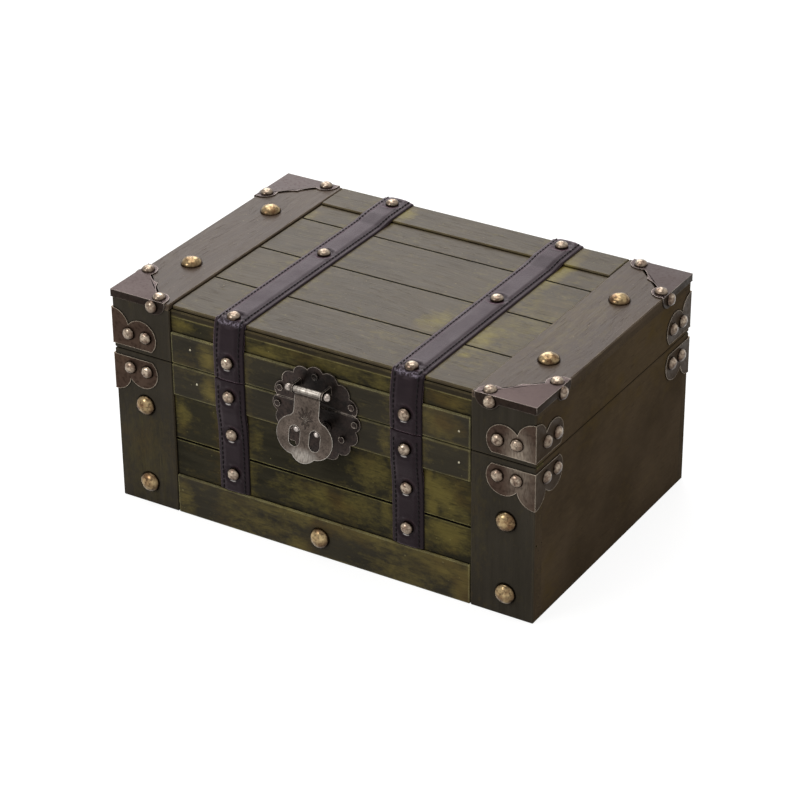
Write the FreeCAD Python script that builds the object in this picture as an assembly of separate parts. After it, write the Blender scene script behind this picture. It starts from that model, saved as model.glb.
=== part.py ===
import FreeCAD, Part
import math
import os

# Treasure chest box in millimetres. X runs to the right, the front faces -Y and Z points up.
# The origin is the middle of the underside.

# Wooden box
width = 300.0
depth = 200.0
seam_height = 107.0
lid_height = 40.0
seam_gap = 0.6
wall_thickness = 7.0
front_thickness = 7.5
relief_thickness = 2.0
bottom_thickness = 4.0
panel_thickness = 4.0
plank_thickness = 2.5
plank_setback = 1.5
end_board_thickness = 4.0
stile_width = 43.0
back_rail_depth = 27.0
plank_share = 0.25
trim_gap = 0.4
arris = 0.6
kerf_width = 1.3
kerf_depth = 1.6
front_joint_share = 0.434
base_rail_height = 21.7
bottom_rail_height = 27.4
lid_rail_height = 21.2

# Leather straps
strap_width = 22.0
strap_thickness = 2.4
strap_share = 0.42
strap_ramp = 7.0
strap_end_gap = 0.3
strap_back_rise = 5.0

# Sheet metal at the corners
sheet_thickness = 0.8
cover_lobe_centre = 32.0
cover_lobe_inset = 2.6
cover_lobe_radius = 8.2
cover_waist_along = 28.0
cover_cusp = 20.5
cover_hollow = 1.0
flange_lobe_drop = 0.5
flange_lobe_radius = 8.5
flange_drop = 4.4
bracket_lobe_centre = 21.0
bracket_lobe_rise = 8.5
bracket_lobe_radius = 11.5
bracket_corner_rise = 13.0
bracket_corner_radius = 12.0
lid_bracket_gap = 3.4
base_bracket_gap = 3.8

# Small dome nails and large dome studs
nail_head_radius = 4.4
nail_head_height = 3.0
nail_shank_radius = 0.9
nail_length = 7.0
nail_tip = 0.8
stud_head_radius = 7.0
stud_head_height = 4.8
stud_shank_radius = 1.2
bracket_nail_near = 12.0
bracket_nail_far = 24.8
lid_bracket_nail_rise = 9.3
base_bracket_nail_drop = 7.3
cover_nail_along = 33.0
cover_nail_inset = 4.5
flange_nail_along = 30.5
flange_nail_drop = 4.0
stud_inset = 22.0
stud_right_inset = 18.8
stud_lid_share = 0.45
stud_left_drop = 35.5
stud_right_drop = 41.0
stud_foot_rise = 16.0
strap_nail_lid_rise = 12.5
strap_nail_base_drop = 11.0
strap_nail_plank_shares = (0.7135, 0.2274)
strap_nail_front = 4.6
strap_nail_middle = 8.0
strap_nail_back = 9.0
strap_nail_rear_rise = 20.0

# Latch on the front
plate_thickness = 1.0
plate_drop = 5.0
plate_lobe_count = 16
plate_lobe_ring = 25.0
plate_lobe_radius = 6.3
rivet_head_radius = 2.3
rivet_head_height = 1.1
rivet_shank_radius = 0.8
rivet_length = 6.0
rivet_upper_side = 25.5
rivet_upper_rise = 6.0
rivet_top_rise = 19.8
rivet_lower_side = 27.5
rivet_lower_drop = 5.3
rivet_foot_side = 18.0
rivet_foot_drop = 18.0
hasp_pin_rise = 13.3
hasp_pin_out = 9.0
hasp_pin_radius = 1.2
hasp_barrel_radius = 2.2
hasp_barrel_length = 19.4
ear_thickness = 1.4
ear_radius = 2.8
ball_radius = 2.6
hasp_thickness = 1.1
hasp_neck_width = 18.0
hasp_lobe_drop = 29.2
hasp_lobe_radius = 12.5
hasp_lobe_offset = 7.5
hasp_tip_drop = 35.2
hasp_tip_radius = 10.3
hasp_flare_radius = 4.5
hasp_slot_offset = 7.2
hasp_slot_width = 7.6
hasp_slot_top = 23.2
hasp_slot_bottom = 36.5
hasp_lip_start = 38.0
hasp_lip_radius = 28.0
hasp_lip_degrees = 14.0
hasp_rest_degrees = 9.5
post_offset = 7.2
post_drop = 12.4
post_out = 13.3
post_radius = 2.2
post_collar_radius = 3.4
post_collar_height = 0.8

# Hinges on the back
hinge_share = 0.64
hinge_width = 24.0
leaf_height = 16.0
leaf_thickness = 0.9
hinge_axis_out = 2.1
knuckle_radius = 1.9
knuckle_count = 3
hinge_pin_radius = 0.95
screw_head_radius = 2.2
screw_head_height = 1.0
screw_shank_radius = 0.8
screw_length = 5.5
screw_side = 7.5
screw_reach = 10.5
screw_slot_width = 0.7
screw_slot_depth = 0.6

# Fits and cuts
running_clearance = 0.05
side_clearance = 0.3
overrun = 1.0

half_width = width / 2
half_depth = depth / 2
height = seam_height + lid_height
inner_half = half_width - stile_width - trim_gap
relief_front = -half_depth
plank_front = relief_front + relief_thickness
inside_front = plank_front + front_thickness
inside_back = half_depth - wall_thickness
inside_half = half_width - wall_thickness
base_top = seam_height - seam_gap / 2
lid_bottom = seam_height + seam_gap / 2
base_rail_bottom = base_top - base_rail_height
lid_rail_top = lid_bottom + lid_rail_height
front_joint_height = bottom_rail_height + front_joint_share * (base_rail_bottom - bottom_rail_height)
panel_top = height - end_board_thickness
panel_bottom = panel_top - panel_thickness
plank_top = panel_top + plank_thickness
rail_front = half_depth - back_rail_depth
plank_width = depth * plank_share
strap_offset = half_width * strap_share
plate_height = seam_height - plate_drop
hasp_pin_height = seam_height + hasp_pin_rise
hinge_offset = half_width * hinge_share
latch_face = relief_front - plate_thickness
hinge_axis_y = half_depth + hinge_axis_out

origin = FreeCAD.Vector(0, 0, 0)
x_axis = FreeCAD.Vector(1, 0, 0)
y_axis = FreeCAD.Vector(0, 1, 0)
z_axis = FreeCAD.Vector(0, 0, 1)
sides = {"left": -1, "right": 1}


def vec(x, y, z):
    return FreeCAD.Vector(x, y, z)


def block(x0, x1, y0, y1, z0, z1):
    return Part.makeBox(x1 - x0, y1 - y0, z1 - z0, vec(x0, y0, z0))


def near(value, *levels):
    return any(abs(value - level) < running_clearance for level in levels)


def flush_joint(edge):
    # Whether two boards meet flush along an edge, so that its arris stays sharp.
    at = edge.CenterOfMass
    on_end = near(abs(at.x), half_width)
    on_back = near(at.y, half_depth)
    on_front = near(at.y, relief_front)
    on_level = near(at.z, 0, base_top, lid_bottom, height)
    if on_front and near(at.z, panel_top) or near(at.y, plank_front) and near(at.z, panel_bottom):
        return True
    return (on_end or on_back) and on_end + on_back + on_front + on_level < 2


def board(x0, x1, y0, y1, z0, z1):
    # A board with its free arrises eased.
    solid = block(x0, x1, y0, y1, z0, z1)
    return solid.makeChamfer(arris, [edge for edge in solid.Edges if not flush_joint(edge)])


def sided(side, inner, outer):
    # The low and high X of a span that lies between two distances from the middle.
    return sorted((sides[side] * inner, sides[side] * outer))


def save(name, shape):
    shape.exportStep("parts/" + name + ".step")


def base_front_planks():
    # Two wide planks. The upper one has a saw kerf along the joint.
    lower = board(-half_width, half_width, plank_front, inside_front, 0, front_joint_height)
    upper = board(-half_width, half_width, plank_front, inside_front, front_joint_height, base_top)
    kerf = block(-half_width - overrun, half_width + overrun, plank_front - overrun, plank_front + kerf_depth,
                 front_joint_height - overrun, front_joint_height + kerf_width)
    return lower, upper.cut(kerf)


def side_board(side, bottom, top):
    x0, x1 = sided(side, inside_half, half_width)
    return board(x0, x1, inside_front, inside_back, bottom, top)


def stile(side, bottom, top):
    x0, x1 = sided(side, half_width - stile_width, half_width)
    return board(x0, x1, relief_front, plank_front, bottom, top)


def front_rail(bottom, top):
    return board(-inner_half, inner_half, relief_front, plank_front, bottom, top)


def end_board(side):
    x0, x1 = sided(side, half_width - stile_width, half_width)
    return board(x0, x1, relief_front, half_depth, panel_top, height)


def lid_plank(front, back, kerfed):
    # A thin plank on the panel. The kerf runs along its back edge.
    solid = board(-inner_half, inner_half, front, back, panel_top, plank_top)
    if not kerfed:
        return solid
    kerf = block(-half_width, half_width, back - kerf_width, back + overrun, plank_top - kerf_depth,
                 plank_top + overrun)
    return solid.cut(kerf)


def strap(side, path):
    # A leather strip that follows a path of (y, z) points on the wood.
    start = sides[side] * strap_offset - strap_width / 2
    spine = Part.makePolygon([vec(start, y, z) for y, z in path])
    strip = spine.makeOffset2D(strap_thickness, 0, True, True)
    return strip.extrude(x_axis * strap_width)


def lid_strap(side):
    path = [(half_depth, seam_height + strap_back_rise), (half_depth, height), (rail_front, height),
            (rail_front - strap_ramp, plank_top), (plank_front + plank_setback, plank_top),
            (plank_front, panel_top), (relief_front, lid_rail_top), (relief_front, lid_bottom)]
    return strap(side, path)


def base_strap(side):
    path = [(relief_front, base_top), (relief_front, base_rail_bottom),
            (plank_front, base_rail_bottom - strap_ramp), (plank_front, bottom_rail_height + strap_end_gap)]
    return strap(side, path)


def plate(edges, thickness):
    return Part.Face(Part.Wire(edges)).extrude(thickness)


def circle_arc(centre, radius, first, last, to_world):
    # Arc about a centre in a local plane, from one angle in degrees to another.
    def at(angle):
        turn = math.radians(angle)
        return to_world(centre[0] + radius * math.cos(turn), centre[1] + radius * math.sin(turn))
    return Part.Arc(at(first), at((first + last) / 2), at(last)).toShape()


def angle_of(centre, point):
    return math.degrees(math.atan2(point[1] - centre[1], point[0] - centre[0]))


def line(first, last):
    return Part.LineSegment(first, last).toShape()


def cover_top():
    # Top of a corner cover: two lobes, and between them an accolade with its cusp on the diagonal.
    def world(a, b):
        return vec(-half_width + a, -half_depth + b, height)

    def flipped(a, b):
        return world(b, a)
    edge = -sheet_thickness
    lobe = (cover_lobe_centre, cover_lobe_inset)
    reach = lobe[0] + math.sqrt(cover_lobe_radius ** 2 - (lobe[1] - edge) ** 2)
    waist = (cover_waist_along,
             lobe[1] + math.sqrt(cover_lobe_radius ** 2 - (cover_waist_along - lobe[0]) ** 2))
    cusp = (cover_cusp, cover_cusp)
    span = math.hypot(waist[0] - cusp[0], waist[1] - cusp[1])
    middle = ((waist[0] + cusp[0]) / 2 + cover_hollow * (waist[1] - cusp[1]) / span,
              (waist[1] + cusp[1]) / 2 - cover_hollow * (waist[0] - cusp[0]) / span)
    lobe_span = (angle_of(lobe, (reach, edge)), angle_of(lobe, waist))
    edges = [line(world(edge, edge), world(reach, edge)),
             circle_arc(lobe, cover_lobe_radius, lobe_span[0], lobe_span[1], world),
             Part.Arc(world(*waist), world(*middle), world(*cusp)).toShape(),
             Part.Arc(flipped(*cusp), flipped(*middle), flipped(*waist)).toShape(),
             circle_arc(lobe, cover_lobe_radius, lobe_span[1], lobe_span[0], flipped),
             line(flipped(reach, edge), flipped(edge, edge))]
    return plate(edges, z_axis * sheet_thickness)


def cover_flange(world, outward):
    # Narrow flange of a corner cover with a lobe round its nail. Drops are measured down from the wood top.
    edge = -sheet_thickness
    lobe = (cover_lobe_centre, flange_lobe_drop)
    reach = lobe[0] + math.sqrt(flange_lobe_radius ** 2 - (lobe[1] - edge) ** 2)
    waist = (lobe[0] - math.sqrt(flange_lobe_radius ** 2 - (flange_drop - lobe[1]) ** 2), flange_drop)
    edges = [line(world(edge, edge), world(reach, edge)),
             circle_arc(lobe, flange_lobe_radius, angle_of(lobe, (reach, edge)), angle_of(lobe, waist), world),
             line(world(*waist), world(edge, flange_drop)),
             line(world(edge, flange_drop), world(edge, edge))]
    return plate(edges, outward * sheet_thickness)


def corner_cover():
    # The cover of the front left corner of the lid.
    def front(a, drop):
        return vec(-half_width + a, -half_depth, height - drop)

    def side(a, drop):
        return vec(-half_width, -half_depth + a, height - drop)
    whole = cover_top().fuse([cover_flange(front, -y_axis), cover_flange(side, -x_axis)])
    return whole.removeSplitter()


def bracket_side(world, outward):
    # One face of a wrap-round bracket: a full lobe and half of the lobe that folds over the corner.
    edge = -sheet_thickness
    lobe = (bracket_lobe_centre, bracket_lobe_rise)
    fold = (0, bracket_corner_rise)
    reach = lobe[0] + math.sqrt(bracket_lobe_radius ** 2 - bracket_lobe_rise ** 2)
    apart = math.hypot(lobe[0] - fold[0], lobe[1] - fold[1])
    along = (apart ** 2 + bracket_corner_radius ** 2 - bracket_lobe_radius ** 2) / (apart * 2)
    away = math.sqrt(bracket_corner_radius ** 2 - along ** 2)
    to_lobe = ((lobe[0] - fold[0]) / apart, (lobe[1] - fold[1]) / apart)
    notch = (fold[0] + along * to_lobe[0] - away * to_lobe[1], fold[1] + along * to_lobe[1] + away * to_lobe[0])
    peak = (0, bracket_corner_rise + bracket_corner_radius)
    edges = [line(world(edge, 0), world(reach, 0)),
             circle_arc(lobe, bracket_lobe_radius, angle_of(lobe, (reach, 0)), angle_of(lobe, notch), world),
             circle_arc(fold, bracket_corner_radius, angle_of(fold, notch), angle_of(fold, peak), world),
             line(world(*peak), world(edge, peak[1])),
             line(world(edge, peak[1]), world(edge, 0))]
    return plate(edges, outward * sheet_thickness)


def bracket(foot, direction):
    # The bracket of the front left corner. Its straight edge is at foot, its lobes point up or down.
    def front(a, rise):
        return vec(-half_width + a, -half_depth, foot + direction * rise)

    def side(a, rise):
        return vec(-half_width, -half_depth + a, foot + direction * rise)
    whole = bracket_side(front, -y_axis).fuse(bracket_side(side, -x_axis))
    return whole.removeSplitter()


def at_corners(solid):
    # The same piece at all four corners.
    right = solid.mirror(origin, x_axis)
    return {"front_left": solid, "front_right": right, "back_left": solid.mirror(origin, y_axis),
            "back_right": right.mirror(origin, y_axis)}


def dome_nail(head_radius, head_height, shank_radius, length, tip):
    # A nail with a domed head above its seat and a pointed shank below.
    sphere_radius = (head_radius ** 2 + head_height ** 2) / (head_height * 2)
    half_turn = math.asin(head_radius / sphere_radius) / 2
    middle = vec(sphere_radius * math.sin(half_turn), 0,
                 head_height - sphere_radius + sphere_radius * math.cos(half_turn))
    crown = vec(0, 0, head_height)
    rim = vec(head_radius, 0, 0)
    neck = vec(shank_radius, 0, 0)
    end = vec(shank_radius, 0, tip - length)
    point = vec(0, 0, -length)
    edges = [Part.Arc(crown, middle, rim).toShape(), line(rim, neck), line(neck, end), line(end, point),
             line(point, crown)]
    return Part.Face(Part.Wire(edges)).revolve(origin, z_axis, 360)


def placed(solid, point, normal):
    # A piece made upright at the origin, set at a point with its top along the normal.
    moved = solid.copy()
    moved.Placement = FreeCAD.Placement(point, FreeCAD.Rotation(z_axis, normal))
    return moved


def group(solid, seats):
    return Part.makeCompound([placed(solid, point, normal) for point, normal in seats])


def corner_seats(along, front_back_level, level):
    # Seats on the front or back face and on the side face of each corner, at one height.
    seats = []
    for x_sign in (-1, 1):
        for y_sign in (-1, 1):
            seats.append((vec(x_sign * (half_width - along), y_sign * front_back_level, level),
                          y_axis * y_sign))
            seats.append((vec(x_sign * (half_width + sheet_thickness), y_sign * (half_depth - along), level),
                          x_axis * x_sign))
    return seats


def bracket_seats(level):
    face = half_depth + sheet_thickness
    return corner_seats(bracket_nail_near, face, level) + corner_seats(bracket_nail_far, face, level)


def cover_seats():
    seats = corner_seats(flange_nail_along, half_depth + sheet_thickness, height - flange_nail_drop)
    for x_sign in (-1, 1):
        for y_sign in (-1, 1):
            for along, across in ((cover_nail_along, cover_nail_inset), (cover_nail_inset, cover_nail_along)):
                seats.append((vec(x_sign * (half_width - along), y_sign * (half_depth - across),
                                  height + sheet_thickness), z_axis))
    return seats


def lid_strap_seats():
    seats = []
    for sign in sides.values():
        x = sign * strap_offset
        seats.append((vec(x, plank_front + strap_nail_front, plank_top + strap_thickness), z_axis))
        seats.append((vec(x, strap_nail_middle, plank_top + strap_thickness), z_axis))
        seats.append((vec(x, half_depth - strap_nail_back, height + strap_thickness), z_axis))
        seats.append((vec(x, relief_front - strap_thickness, seam_height + strap_nail_lid_rise), -y_axis))
        seats.append((vec(x, half_depth + strap_thickness, seam_height + strap_nail_rear_rise), y_axis))
    return seats


def base_strap_seats():
    plank_span = base_rail_bottom - bottom_rail_height
    spots = [(relief_front, seam_height - strap_nail_base_drop)]
    spots += [(plank_front, bottom_rail_height + share * plank_span) for share in strap_nail_plank_shares]
    return [(vec(sign * strap_offset, face - strap_thickness, level), -y_axis)
            for sign in sides.values() for face, level in spots]


def base_stud_seats():
    left = stud_inset - half_width
    right = half_width - stud_right_inset
    spots = [(0, bottom_rail_height / 2), (left, stud_foot_rise), (right, stud_foot_rise),
             (left, seam_height - stud_left_drop), (right, seam_height - stud_right_drop)]
    return [(vec(x, relief_front, z), -y_axis) for x, z in spots]


def lid_stud_seats():
    return [(vec(x_sign * (half_width - stud_inset), y_sign * half_depth * stud_lid_share, height), z_axis)
            for x_sign in (-1, 1) for y_sign in (-1, 1)]


def latch_disc():
    # The scalloped outline of both latch plates together.
    step = math.radians(360 / plate_lobe_count)
    valley = plate_lobe_ring * math.cos(step / 2) + math.sqrt(
        plate_lobe_radius ** 2 - (plate_lobe_ring * math.sin(step / 2)) ** 2)

    def at(radius, turn):
        return vec(radius * math.cos(turn), relief_front, plate_height + radius * math.sin(turn))
    edges = []
    for lobe in range(plate_lobe_count):
        turn = lobe * step
        edges.append(Part.Arc(at(valley, turn - step / 2), at(plate_lobe_ring + plate_lobe_radius, turn),
                              at(valley, turn + step / 2)).toShape())
    return plate(edges, -y_axis * plate_thickness)


def latch_plates():
    reach = plate_lobe_ring + plate_lobe_radius + overrun
    disc = latch_disc()
    front = latch_face - overrun
    below = block(-reach, reach, front, plank_front, plate_height - reach, base_top)
    above = block(-reach, reach, front, plank_front, lid_bottom, plate_height + reach)
    return disc.common(below), disc.common(above)


def along_x(radius, x0, x1, y, z):
    return Part.makeCylinder(radius, x1 - x0, vec(x0, y, z), x_axis)


def ear_spans():
    inner = hasp_barrel_length / 2 + side_clearance
    return [sided(side, inner, inner + ear_thickness) for side in sides]


def upper_plate(flat):
    # The lid plate with two ears that hold the hasp pin.
    axis_y = relief_front - hasp_pin_out
    ears = []
    for x0, x1 in ear_spans():
        ears.append(block(x0, x1, axis_y, relief_front, hasp_pin_height - ear_radius,
                          hasp_pin_height + ear_radius))
        ears.append(along_x(ear_radius, x0, x1, axis_y, hasp_pin_height))
    whole = flat.fuse(ears).removeSplitter()
    hole = along_x(hasp_pin_radius, -half_width, half_width, axis_y, hasp_pin_height)
    return whole.cut(hole)


def hasp_pin():
    # A round pin with a ball on each end, outside the ears.
    axis_y = relief_front - hasp_pin_out
    outer = hasp_barrel_length / 2 + side_clearance + ear_thickness
    ball_x = outer + math.sqrt(ball_radius ** 2 - hasp_pin_radius ** 2)
    solid = along_x(hasp_pin_radius, -ball_x, ball_x, axis_y, hasp_pin_height)
    balls = [Part.makeSphere(ball_radius, vec(sign * ball_x, axis_y, hasp_pin_height))
             for sign in sides.values()]
    keep_out = block(-outer, outer, axis_y - ear_radius, axis_y + ear_radius, hasp_pin_height - ear_radius,
                     hasp_pin_height + ear_radius)
    return solid.fuse([ball.cut(keep_out) for ball in balls]).removeSplitter()


def hasp_outline():
    # Neck, two side lobes and a tip lobe seen from the front, with the pin at the origin.
    deep = hasp_lobe_radius

    def disc(radius, x, drop):
        return Part.makeCylinder(radius, deep * 2, vec(x, -deep, -drop), y_axis)
    neck = block(-hasp_neck_width / 2, hasp_neck_width / 2, -deep, deep, -hasp_lobe_drop, 0)
    lobes = [disc(hasp_lobe_radius, side * hasp_lobe_offset, hasp_lobe_drop) for side in sides.values()]
    solid = neck.fuse(lobes + [disc(hasp_tip_radius, 0, hasp_tip_drop)]).removeSplitter()
    across = hasp_neck_width / 2 - hasp_lobe_offset
    shoulder = hasp_lobe_drop - math.sqrt(hasp_lobe_radius ** 2 - across ** 2)
    corners = [edge for edge in solid.Edges
               if abs(abs(edge.CenterOfMass.x) - hasp_neck_width / 2) < running_clearance
               and abs(edge.CenterOfMass.z + shoulder) < running_clearance]
    solid = solid.makeFillet(hasp_flare_radius, corners)
    for side in sides.values():
        solid = solid.cut(hasp_slot(side * hasp_slot_offset, deep))
    return solid


def hasp_slot(middle, deep):
    radius = hasp_slot_width / 2
    top = -hasp_slot_top - radius
    bottom = -hasp_slot_bottom + radius
    ends = [Part.makeCylinder(radius, deep * 2, vec(middle, -deep, z), y_axis) for z in (top, bottom)]
    return block(middle - radius, middle + radius, -deep, deep, bottom, top).fuse(ends)


def hasp_sheet():
    # The bent sheet in side view: straight from the pin, then a lip that curls outward.
    turn = math.radians(hasp_lip_degrees)
    half_turn = turn / 2
    half_span = hasp_lobe_offset + hasp_lobe_radius + overrun

    def curl(offset, angle):
        radius = hasp_lip_radius + offset
        return vec(-half_span, radius * math.cos(angle) - hasp_lip_radius,
                   -hasp_lip_start - radius * math.sin(angle))

    def tail(offset):
        end = curl(offset, turn)
        reach = hasp_tip_radius * 2
        return end + vec(0, -math.sin(turn) * reach, -math.cos(turn) * reach)
    inner = hasp_thickness / 2
    outer = -hasp_thickness / 2
    head = [vec(-half_span, offset, 0) for offset in (inner, outer)]
    edges = [line(head[0], curl(inner, 0)),
             Part.Arc(curl(inner, 0), curl(inner, half_turn), curl(inner, turn)).toShape(),
             line(curl(inner, turn), tail(inner)), line(tail(inner), tail(outer)),
             line(tail(outer), curl(outer, turn)),
             Part.Arc(curl(outer, turn), curl(outer, half_turn), curl(outer, 0)).toShape(),
             line(curl(outer, 0), head[1]), line(head[1], head[0])]
    return plate(edges, x_axis * (half_span * 2))


def hasp():
    tongue = hasp_outline().common(hasp_sheet())
    barrel = along_x(hasp_barrel_radius, -hasp_barrel_length / 2, hasp_barrel_length / 2, 0, 0)
    bore = along_x(hasp_pin_radius + running_clearance, -half_width, half_width, 0, 0)
    solid = tongue.fuse(barrel).removeSplitter().cut(bore)
    solid.rotate(origin, x_axis, -hasp_rest_degrees)
    solid.translate(vec(0, relief_front - hasp_pin_out, hasp_pin_height))
    return solid


def latch_post():
    # A round post with a domed end, a collar on the plate and a tail through the plate into the rail.
    out = post_out - plate_thickness
    body = Part.makeCylinder(post_radius, out - post_radius)
    tip = Part.makeSphere(post_radius, vec(0, 0, out - post_radius))
    collar = Part.makeCylinder(post_collar_radius, post_collar_height)
    tail = Part.makeCylinder(rivet_shank_radius, rivet_length, vec(0, 0, -rivet_length))
    return body.fuse([tip, collar, tail]).removeSplitter()


def knuckle_spans(middle, owner):
    # The X spans of one leaf's knuckles. The base leaf has the outer ones, the lid leaf the middle one.
    length = hinge_width / knuckle_count
    start = middle - hinge_width / 2
    gap = side_clearance / 2
    spans = [(start + index * length, start + (index + 1) * length) for index in range(knuckle_count)]
    taken = spans[0::2] if owner == "base" else spans[1::2]
    return [(x0 + (gap if x0 > start else 0), x1 - (gap if x1 < start + hinge_width else 0))
            for x0, x1 in taken]


def hinge_leaf(middle, owner):
    # A leaf flat on the back face, with its knuckles rolled round the pin.
    other = "lid" if owner == "base" else "base"
    x0 = middle - hinge_width / 2
    x1 = middle + hinge_width / 2
    z0, z1 = (seam_height - leaf_height, base_top)
    if owner == "lid":
        z0, z1 = (lid_bottom, seam_height + leaf_height)
    flat = block(x0, x1, half_depth, half_depth + leaf_thickness, z0, z1)
    for low, high in knuckle_spans(middle, other):
        flat = flat.cut(along_x(knuckle_radius + side_clearance, low - side_clearance, high + side_clearance,
                                hinge_axis_y, seam_height))
    knuckles = [along_x(knuckle_radius, low, high, hinge_axis_y, seam_height)
                for low, high in knuckle_spans(middle, owner)]
    bore_radius = hinge_pin_radius + (running_clearance if owner == "lid" else 0)
    bore = along_x(bore_radius, x0 - overrun, x1 + overrun, hinge_axis_y, seam_height)
    return flat.fuse(knuckles).removeSplitter().cut(bore)


def hinge_pin(middle):
    return along_x(hinge_pin_radius, middle - hinge_width / 2, middle + hinge_width / 2, hinge_axis_y,
                   seam_height)


def screw():
    # A small round-head screw with a straight slot.
    solid = dome_nail(screw_head_radius, screw_head_height, screw_shank_radius, screw_length, nail_tip)
    slot = block(-screw_head_radius, screw_head_radius, -screw_slot_width / 2, screw_slot_width / 2,
                 screw_head_height - screw_slot_depth, screw_head_height + overrun)
    return solid.cut(slot)


def screw_seats(level):
    return [(vec(sign * hinge_offset + side, half_depth + leaf_thickness, level), y_axis)
            for sign in sides.values() for side in (-screw_side, screw_side)]


def save_base():
    lower, upper = base_front_planks()
    save("base_front_lower_plank", lower)
    save("base_front_upper_plank", upper)
    save("base_back_board", board(-half_width, half_width, inside_back, half_depth, 0, base_top))
    save("base_bottom_board", board(-inside_half, inside_half, inside_front, inside_back, 0, bottom_thickness))
    save("base_top_rail", front_rail(base_rail_bottom, base_top))
    save("base_bottom_rail", front_rail(0, bottom_rail_height))
    for side in sides:
        save("base_%s_board" % side, side_board(side, 0, base_top))
        save("base_%s_stile" % side, stile(side, 0, base_top))
        save("base_%s_strap" % side, base_strap(side))
    foot = seam_height - base_bracket_gap
    for corner, solid in at_corners(bracket(foot, -1)).items():
        save("base_%s_bracket" % corner, solid)
    nail = dome_nail(nail_head_radius, nail_head_height, nail_shank_radius, nail_length, nail_tip)
    stud = dome_nail(stud_head_radius, stud_head_height, stud_shank_radius, nail_length, nail_tip)
    save("base_bracket_nails", group(nail, bracket_seats(foot - base_bracket_nail_drop)))
    save("base_strap_nails", group(nail, base_strap_seats()))
    save("base_studs", group(stud, base_stud_seats()))


def save_lid():
    save("lid_front_board", board(-half_width, half_width, plank_front, inside_front, lid_bottom, panel_bottom))
    save("lid_back_board", board(-half_width, half_width, inside_back, half_depth, lid_bottom, panel_bottom))
    save("lid_top_panel", board(-half_width, half_width, plank_front, half_depth, panel_bottom, panel_top))
    save("lid_back_rail", board(-inner_half, inner_half, rail_front, half_depth, panel_top, height))
    save("lid_back_plank", lid_plank(plank_width, rail_front, False))
    save("lid_rear_middle_plank", lid_plank(0, plank_width, True))
    save("lid_front_middle_plank", lid_plank(-plank_width, 0, True))
    save("lid_front_plank", lid_plank(plank_front + plank_setback, -plank_width, True))
    save("lid_front_rail", front_rail(lid_bottom, lid_rail_top))
    for side in sides:
        save("lid_%s_board" % side, side_board(side, lid_bottom, panel_bottom))
        save("lid_%s_end_board" % side, end_board(side))
        save("lid_%s_stile" % side, stile(side, lid_bottom, panel_top))
        save("lid_%s_strap" % side, lid_strap(side))
    foot = seam_height + lid_bracket_gap
    for corner, solid in at_corners(bracket(foot, 1)).items():
        save("lid_%s_bracket" % corner, solid)
    for corner, solid in at_corners(corner_cover()).items():
        save("lid_%s_cover" % corner, solid)
    nail = dome_nail(nail_head_radius, nail_head_height, nail_shank_radius, nail_length, nail_tip)
    stud = dome_nail(stud_head_radius, stud_head_height, stud_shank_radius, nail_length, nail_tip)
    save("lid_corner_nails", group(nail, bracket_seats(foot + lid_bracket_nail_rise) + cover_seats()))
    save("lid_strap_nails", group(nail, lid_strap_seats()))
    save("lid_studs", group(stud, lid_stud_seats()))


def save_latch():
    lower, upper = latch_plates()
    save("latch_lower_plate", lower)
    save("latch_upper_plate", upper_plate(upper))
    save("latch_pin", hasp_pin())
    save("latch_hasp", hasp())
    rivet = dome_nail(rivet_head_radius, rivet_head_height, rivet_shank_radius, rivet_length, nail_tip)
    high = [(sign * rivet_upper_side, seam_height + rivet_upper_rise) for sign in sides.values()]
    high.append((0, seam_height + rivet_top_rise))
    low = [(sign * side, seam_height - drop) for sign in sides.values()
           for side, drop in ((rivet_lower_side, rivet_lower_drop), (rivet_foot_side, rivet_foot_drop))]
    save("latch_upper_rivets", group(rivet, [(vec(x, latch_face, z), -y_axis) for x, z in high]))
    save("latch_lower_rivets", group(rivet, [(vec(x, latch_face, z), -y_axis) for x, z in low]))
    posts = [(vec(sign * post_offset, latch_face, seam_height - post_drop), -y_axis)
             for sign in sides.values()]
    save("latch_posts", group(latch_post(), posts))


def save_hinges():
    for owner in ("base", "lid"):
        leaves = [hinge_leaf(sign * hinge_offset, owner) for sign in sides.values()]
        save("hinge_%s_leaves" % owner, Part.makeCompound(leaves))
    save("hinge_pins", Part.makeCompound([hinge_pin(sign * hinge_offset) for sign in sides.values()]))
    save("hinge_base_screws", group(screw(), screw_seats(seam_height - screw_reach)))
    save("hinge_lid_screws", group(screw(), screw_seats(seam_height + screw_reach)))


os.makedirs("parts", exist_ok=True)
save_base()
save_lid()
save_latch()
save_hinges()
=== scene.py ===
import bpy
import math
import random
from mathutils import Matrix, Vector


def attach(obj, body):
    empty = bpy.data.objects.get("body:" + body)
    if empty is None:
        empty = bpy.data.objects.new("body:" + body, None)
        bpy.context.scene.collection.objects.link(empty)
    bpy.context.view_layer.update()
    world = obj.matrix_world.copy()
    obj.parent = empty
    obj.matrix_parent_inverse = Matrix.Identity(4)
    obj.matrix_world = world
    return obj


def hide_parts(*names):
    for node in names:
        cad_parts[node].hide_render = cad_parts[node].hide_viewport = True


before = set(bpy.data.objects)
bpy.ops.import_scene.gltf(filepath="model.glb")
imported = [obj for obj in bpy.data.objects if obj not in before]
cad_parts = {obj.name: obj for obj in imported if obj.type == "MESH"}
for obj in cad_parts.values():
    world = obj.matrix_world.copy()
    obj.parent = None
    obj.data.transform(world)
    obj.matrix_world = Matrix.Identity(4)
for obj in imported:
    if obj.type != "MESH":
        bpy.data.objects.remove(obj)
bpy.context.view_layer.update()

# Base box. Two wide front planks, a back board, two side boards and a bottom board of thin
# pine, glued and pinned. The outside is stained dark olive and rubbed through in places,
# the inside is left in plain brown wood.

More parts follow.
